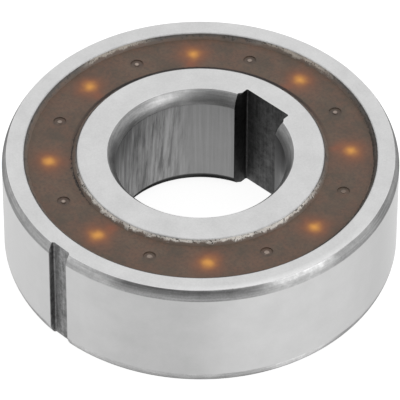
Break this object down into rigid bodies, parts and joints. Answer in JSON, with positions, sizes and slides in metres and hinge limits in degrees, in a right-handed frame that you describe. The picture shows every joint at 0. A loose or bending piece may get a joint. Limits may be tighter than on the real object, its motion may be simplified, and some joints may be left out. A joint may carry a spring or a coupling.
{
  "type": "sprag clutch",
  "caption": "One-way sprag clutch with integrated ball bearing: two keyed steel rings with an amber-brown moulded cage holding balls and sprags between them.",
  "frame": {"origin": "on the common axis, in the plane of the rings' lower faces (bottom centre)", "axes": "+Z along the axis towards the face shown in the picture; the outer ring's keyway is towards -Y; +X completes the right-handed frame"},
  "size_m": [0.035, 0.035, 0.011],
  "materials": {
    "ground_ring_steel": "fine ground and tumbled bearing steel",
    "cage_polymer": "amber-brown translucent moulded polyamide",
    "ball_steel": "polished bearing steel",
    "sprag_steel": "hardened, tumbled drawn profile",
    "spring_steel": "cold-rolled spring strip"
  },
  "bodies": {
    "outer": {"outer_ring": "ground_ring_steel"},
    "inner": {"inner_ring": "ground_ring_steel"},
    "cage": {"lower_cage": "cage_polymer", "upper_cage": "cage_polymer", "sprag_spring_1": "spring_steel", "sprag_spring_2": "spring_steel", "sprag_spring_3": "spring_steel", "sprag_spring_4": "spring_steel", "sprag_spring_5": "spring_steel", "sprag_spring_6": "spring_steel", "sprag_spring_7": "spring_steel", "sprag_spring_8": "spring_steel"},
    "ball_1": {"ball_1": "ball_steel"},
    "ball_2": {"ball_2": "ball_steel"},
    "ball_3": {"ball_3": "ball_steel"},
    "ball_4": {"ball_4": "ball_steel"},
    "ball_5": {"ball_5": "ball_steel"},
    "ball_6": {"ball_6": "ball_steel"},
    "ball_7": {"ball_7": "ball_steel"},
    "ball_8": {"ball_8": "ball_steel"},
    "sprag_1": {"sprag_1": "sprag_steel"},
    "sprag_2": {"sprag_2": "sprag_steel"},
    "sprag_3": {"sprag_3": "sprag_steel"},
    "sprag_4": {"sprag_4": "sprag_steel"},
    "sprag_5": {"sprag_5": "sprag_steel"},
    "sprag_6": {"sprag_6": "sprag_steel"},
    "sprag_7": {"sprag_7": "sprag_steel"},
    "sprag_8": {"sprag_8": "sprag_steel"}
  },
  "joints": [
    {"name": "inner_ring_spin", "type": "hinge", "parent": "outer", "child": "inner", "pos_m": [0, 0, 0.0055], "axis": [0, 0, 1], "continuous": true},
    {"name": "cage_spin", "type": "hinge", "parent": "outer", "child": "cage", "pos_m": [0, 0, 0.0055], "axis": [0, 0, 1], "continuous": true},
    {"name": "ball_1_spin", "type": "hinge", "parent": "cage", "child": "ball_1", "pos_m": [0.01322, 0.00072, 0.0055], "axis": [0, 0, 1], "continuous": true},
    {"name": "ball_2_spin", "type": "hinge", "parent": "cage", "child": "ball_2", "pos_m": [0.00884, 0.00985, 0.0055], "axis": [0, 0, 1], "continuous": true},
    {"name": "ball_3_spin", "type": "hinge", "parent": "cage", "child": "ball_3", "pos_m": [-0.00072, 0.01322, 0.0055], "axis": [0, 0, 1], "continuous": true},
    {"name": "ball_4_spin", "type": "hinge", "parent": "cage", "child": "ball_4", "pos_m": [-0.00985, 0.00884, 0.0055], "axis": [0, 0, 1], "continuous": true},
    {"name": "ball_5_spin", "type": "hinge", "parent": "cage", "child": "ball_5", "pos_m": [-0.01322, -0.00072, 0.0055], "axis": [0, 0, 1], "continuous": true},
    {"name": "ball_6_spin", "type": "hinge", "parent": "cage", "child": "ball_6", "pos_m": [-0.00884, -0.00985, 0.0055], "axis": [0, 0, 1], "continuous": true},
    {"name": "ball_7_spin", "type": "hinge", "parent": "cage", "child": "ball_7", "pos_m": [0.00072, -0.01322, 0.0055], "axis": [0, 0, 1], "continuous": true},
    {"name": "ball_8_spin", "type": "hinge", "parent": "cage", "child": "ball_8", "pos_m": [0.00985, -0.00884, 0.0055], "axis": [0, 0, 1], "continuous": true},
    {"name": "sprag_1_tilt", "type": "hinge", "parent": "cage", "child": "sprag_1", "pos_m": [0.01175, 0.00563, 0.0055], "axis": [0, 0, 1], "range_deg": [-6, 3]},
    {"name": "sprag_2_tilt", "type": "hinge", "parent": "cage", "child": "sprag_2", "pos_m": [0.00433, 0.01229, 0.0055], "axis": [0, 0, 1], "range_deg": [-6, 3]},
    {"name": "sprag_3_tilt", "type": "hinge", "parent": "cage", "child": "sprag_3", "pos_m": [-0.00563, 0.01175, 0.0055], "axis": [0, 0, 1], "range_deg": [-6, 3]},
    {"name": "sprag_4_tilt", "type": "hinge", "parent": "cage", "child": "sprag_4", "pos_m": [-0.01229, 0.00433, 0.0055], "axis": [0, 0, 1], "range_deg": [-6, 3]},
    {"name": "sprag_5_tilt", "type": "hinge", "parent": "cage", "child": "sprag_5", "pos_m": [-0.01175, -0.00563, 0.0055], "axis": [0, 0, 1], "range_deg": [-6, 3]},
    {"name": "sprag_6_tilt", "type": "hinge", "parent": "cage", "child": "sprag_6", "pos_m": [-0.00433, -0.01229, 0.0055], "axis": [0, 0, 1], "range_deg": [-6, 3]},
    {"name": "sprag_7_tilt", "type": "hinge", "parent": "cage", "child": "sprag_7", "pos_m": [0.00563, -0.01175, 0.0055], "axis": [0, 0, 1], "range_deg": [-6, 3]},
    {"name": "sprag_8_tilt", "type": "hinge", "parent": "cage", "child": "sprag_8", "pos_m": [0.01229, -0.00433, 0.0055], "axis": [0, 0, 1], "range_deg": [-6, 3]}
  ],
  "couplings": [
    {"joint": "cage_spin", "follows": "inner_ring_spin", "ratio": 0.39505},
    {"joint": "ball_1_spin", "follows": "inner_ring_spin", "ratio": -2.2772},
    {"joint": "ball_2_spin", "follows": "inner_ring_spin", "ratio": -2.2772},
    {"joint": "ball_3_spin", "follows": "inner_ring_spin", "ratio": -2.2772},
    {"joint": "ball_4_spin", "follows": "inner_ring_spin", "ratio": -2.2772},
    {"joint": "ball_5_spin", "follows": "inner_ring_spin", "ratio": -2.2772},
    {"joint": "ball_6_spin", "follows": "inner_ring_spin", "ratio": -2.2772},
    {"joint": "ball_7_spin", "follows": "inner_ring_spin", "ratio": -2.2772},
    {"joint": "ball_8_spin", "follows": "inner_ring_spin", "ratio": -2.2772},
    {"joint": "sprag_2_tilt", "follows": "sprag_1_tilt", "ratio": 1},
    {"joint": "sprag_3_tilt", "follows": "sprag_1_tilt", "ratio": 1},
    {"joint": "sprag_4_tilt", "follows": "sprag_1_tilt", "ratio": 1},
    {"joint": "sprag_5_tilt", "follows": "sprag_1_tilt", "ratio": 1},
    {"joint": "sprag_6_tilt", "follows": "sprag_1_tilt", "ratio": 1},
    {"joint": "sprag_7_tilt", "follows": "sprag_1_tilt", "ratio": 1},
    {"joint": "sprag_8_tilt", "follows": "sprag_1_tilt", "ratio": 1}
  ]
}
